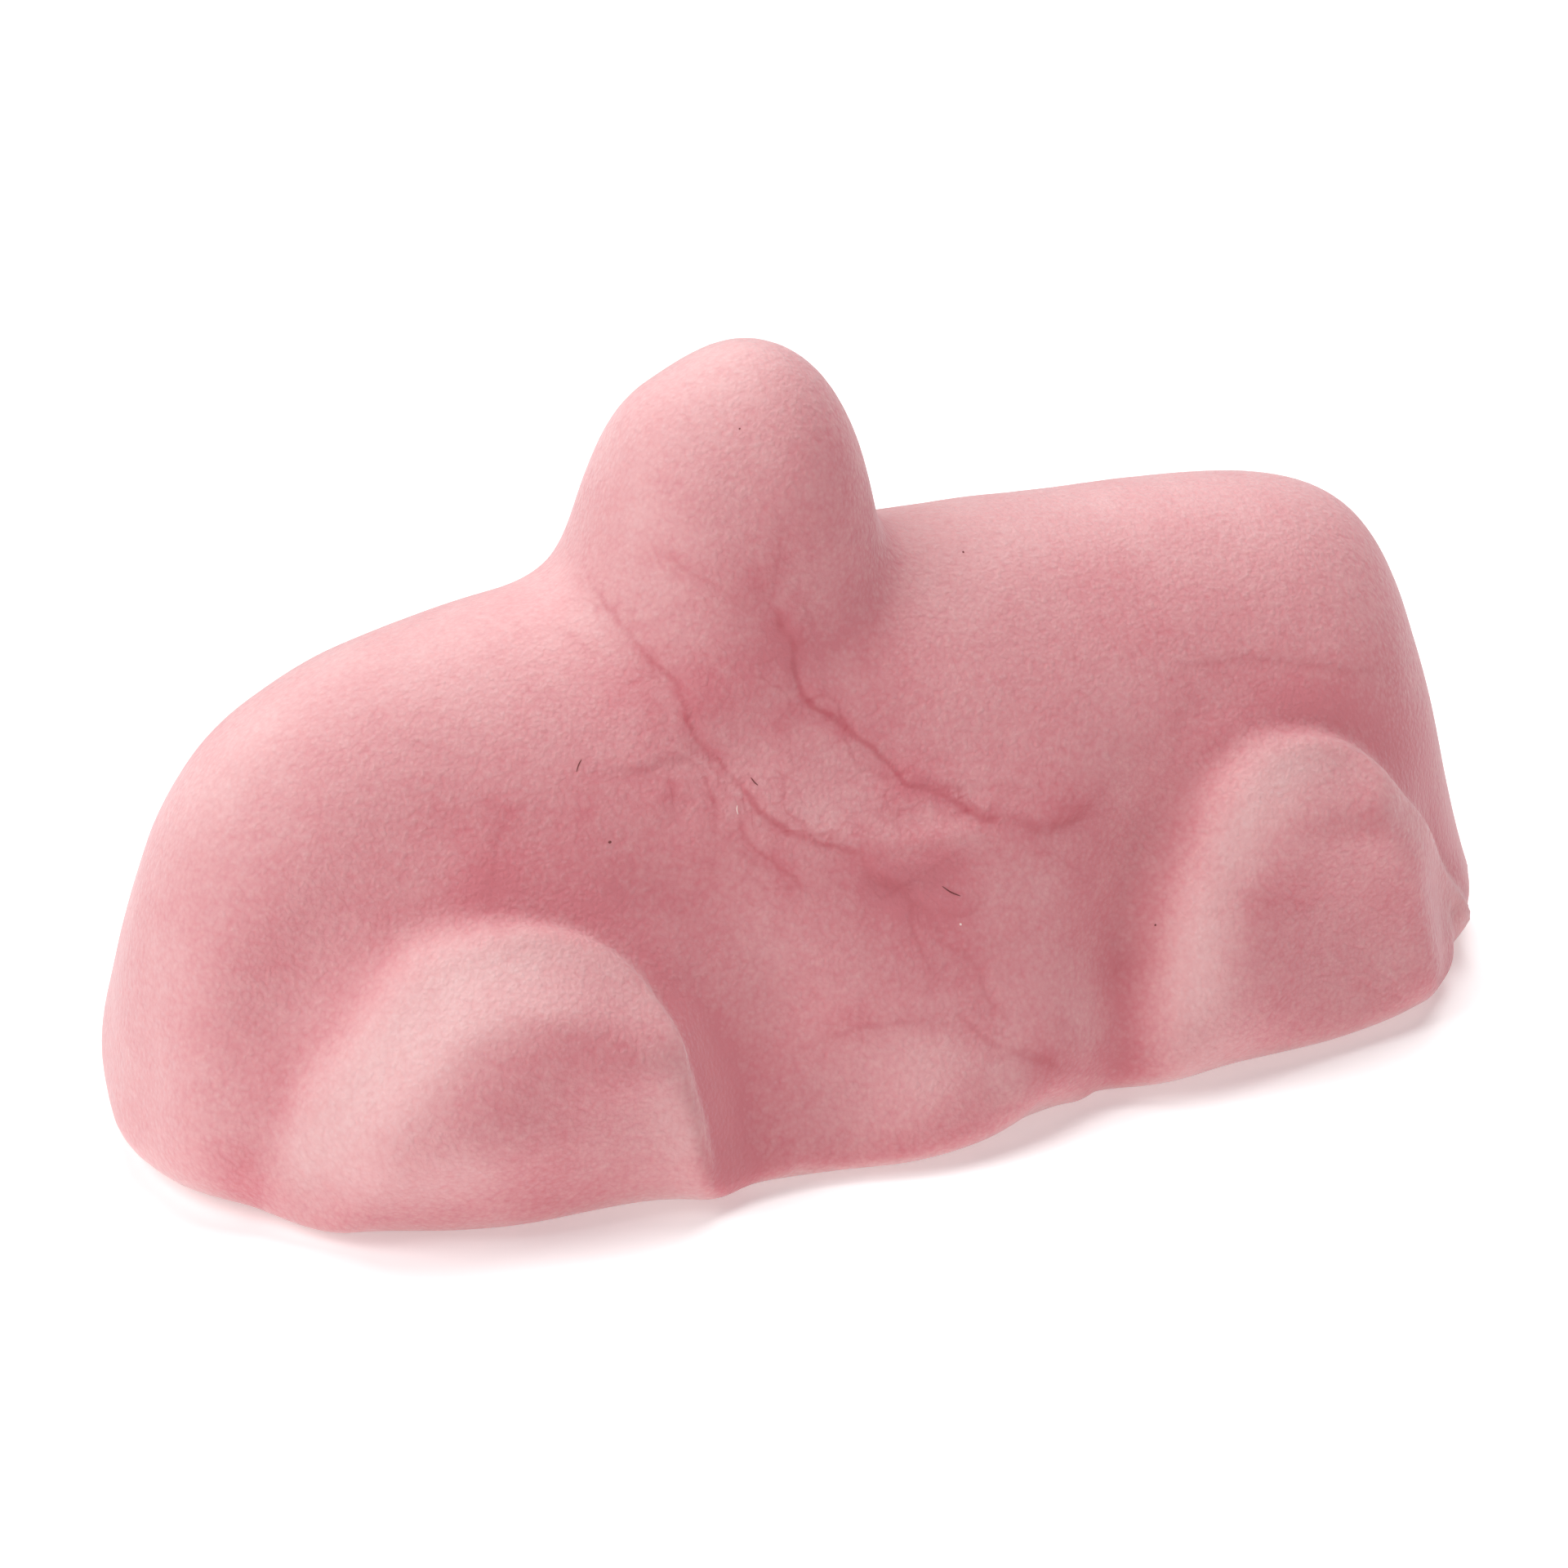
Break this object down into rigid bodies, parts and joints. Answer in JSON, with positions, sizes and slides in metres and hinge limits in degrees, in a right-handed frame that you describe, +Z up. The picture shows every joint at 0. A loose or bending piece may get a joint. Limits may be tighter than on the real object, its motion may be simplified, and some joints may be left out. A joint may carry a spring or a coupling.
{
  "type": "foam car candy",
  "caption": "Moulded pink foam candy in the shape of a small car, with a low rounded end, a taller blunt end, a domed cab, arched wheels on both sides and a flat underside.",
  "frame": {"origin": "middle of the flat underside", "axes": "+X along the length towards the taller end, +Y across, +Z up"},
  "size_m": [0.0313, 0.0144, 0.0159],
  "materials": {
    "foam": "matte, fine-grained foam skin with darker creases"
  },
  "bodies": {
    "root": {"foam_car": "foam"}
  },
  "joints": []
}
